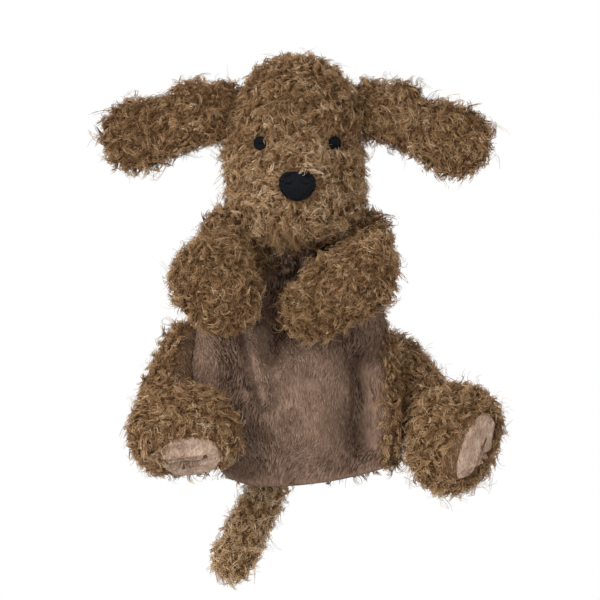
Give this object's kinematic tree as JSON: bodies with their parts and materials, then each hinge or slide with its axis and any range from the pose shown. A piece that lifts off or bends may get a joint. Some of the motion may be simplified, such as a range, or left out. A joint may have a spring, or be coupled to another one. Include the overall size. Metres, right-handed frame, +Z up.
{
  "type": "hand puppet",
  "caption": "Soft plush dog glove puppet with floppy ears, folded arms, stuffed feet and a tail, worn on one hand.",
  "frame": {"origin": "centre of the hem opening, where the hand goes in", "axes": "+Z up to the crown, -Y the way the face looks, +X to the viewer's right"},
  "size_m": [0.2367, 0.1135, 0.3135],
  "materials": {
    "curly_plush": "long curly brown pile with pale fibre ends",
    "belly_velour": "short brushed taupe velour",
    "sole_velour": "short pinkish beige velour",
    "lining_cloth": "matt woven lining",
    "stuffing_fibre": "loose white polyester fibre",
    "nose_satin": "dense navy-black stitching",
    "eye_thread": "dense navy-black stitching",
    "mouth_thread": "dark brown thread"
  },
  "bodies": {
    "glove": {"belly_panel": "belly_velour", "back_panel": "curly_plush", "lining_front": "lining_cloth", "lining_back": "lining_cloth", "hem_facing": "lining_cloth"},
    "neck": {"neck_cover": "curly_plush", "neck_sleeve": "lining_cloth"},
    "head": {"head_side_left": "curly_plush", "head_side_right": "curly_plush", "head_gusset": "curly_plush", "chin_panel": "curly_plush", "head_stuffing": "stuffing_fibre", "finger_stall": "lining_cloth", "eye_left": "eye_thread", "eye_right": "eye_thread", "nose": "nose_satin", "mouth_stitch": "mouth_thread"},
    "ear_left": {"ear_left_front": "curly_plush", "ear_left_back": "curly_plush", "ear_left_batting": "stuffing_fibre"},
    "ear_right": {"ear_right_front": "curly_plush", "ear_right_back": "curly_plush", "ear_right_batting": "stuffing_fibre"},
    "arm_left": {"arm_left_top": "curly_plush", "arm_left_palm": "sole_velour", "arm_left_stall": "lining_cloth", "arm_left_stuffing": "stuffing_fibre"},
    "arm_right": {"arm_right_top": "curly_plush", "arm_right_palm": "sole_velour", "arm_right_stall": "lining_cloth", "arm_right_stuffing": "stuffing_fibre"},
    "leg_left": {"leg_left_cover": "curly_plush", "foot_left_cover": "curly_plush", "sole_left": "sole_velour", "leg_left_stuffing": "stuffing_fibre"},
    "leg_right": {"leg_right_cover": "curly_plush", "foot_right_cover": "curly_plush", "sole_right": "sole_velour", "leg_right_stuffing": "stuffing_fibre"},
    "tail": {"tail_cover": "curly_plush", "tail_stuffing": "stuffing_fibre"}
  },
  "joints": [
    {"name": "head_nod", "type": "hinge", "parent": "glove", "child": "neck", "pos_m": [-0.004, 0.004, 0.149], "axis": [1, 0, 0], "range_deg": [-35, 5]},
    {"name": "head_turn", "type": "hinge", "parent": "neck", "child": "head", "pos_m": [-0.004, 0.004, 0.149], "axis": [0, 0, 1], "range_deg": [-35, 35]},
    {"name": "ear_left_flap", "type": "hinge", "parent": "head", "child": "ear_left", "pos_m": [-0.05199, 0.004, 0.225], "axis": [0, 1, 0], "range_deg": [-50, 35]},
    {"name": "ear_right_flap", "type": "hinge", "parent": "head", "child": "ear_right", "pos_m": [0.04399, 0.004, 0.225], "axis": [0, -1, 0], "range_deg": [-50, 35]},
    {"name": "arm_left_open", "type": "hinge", "parent": "glove", "child": "arm_left", "pos_m": [-0.04631, -0.012, 0.1405], "axis": [0, 0, -1], "range_deg": [0, 80]},
    {"name": "arm_right_open", "type": "hinge", "parent": "glove", "child": "arm_right", "pos_m": [0.03808, -0.012, 0.1405], "axis": [0, 0, 1], "range_deg": [0, 80]},
    {"name": "leg_left_swing", "type": "hinge", "parent": "glove", "child": "leg_left", "pos_m": [-0.07096, 0.00468, 0.086], "axis": [0, 1, 0], "range_deg": [0, 50]},
    {"name": "leg_right_swing", "type": "hinge", "parent": "glove", "child": "leg_right", "pos_m": [0.05516, 0.01922, 0.08], "axis": [0, -1, 0], "range_deg": [0, 50]},
    {"name": "tail_wag", "type": "hinge", "parent": "glove", "child": "tail", "pos_m": [-0.016, 0.0353, 0.012], "axis": [0, 1, 0], "range_deg": [-30, 25]}
  ]
}
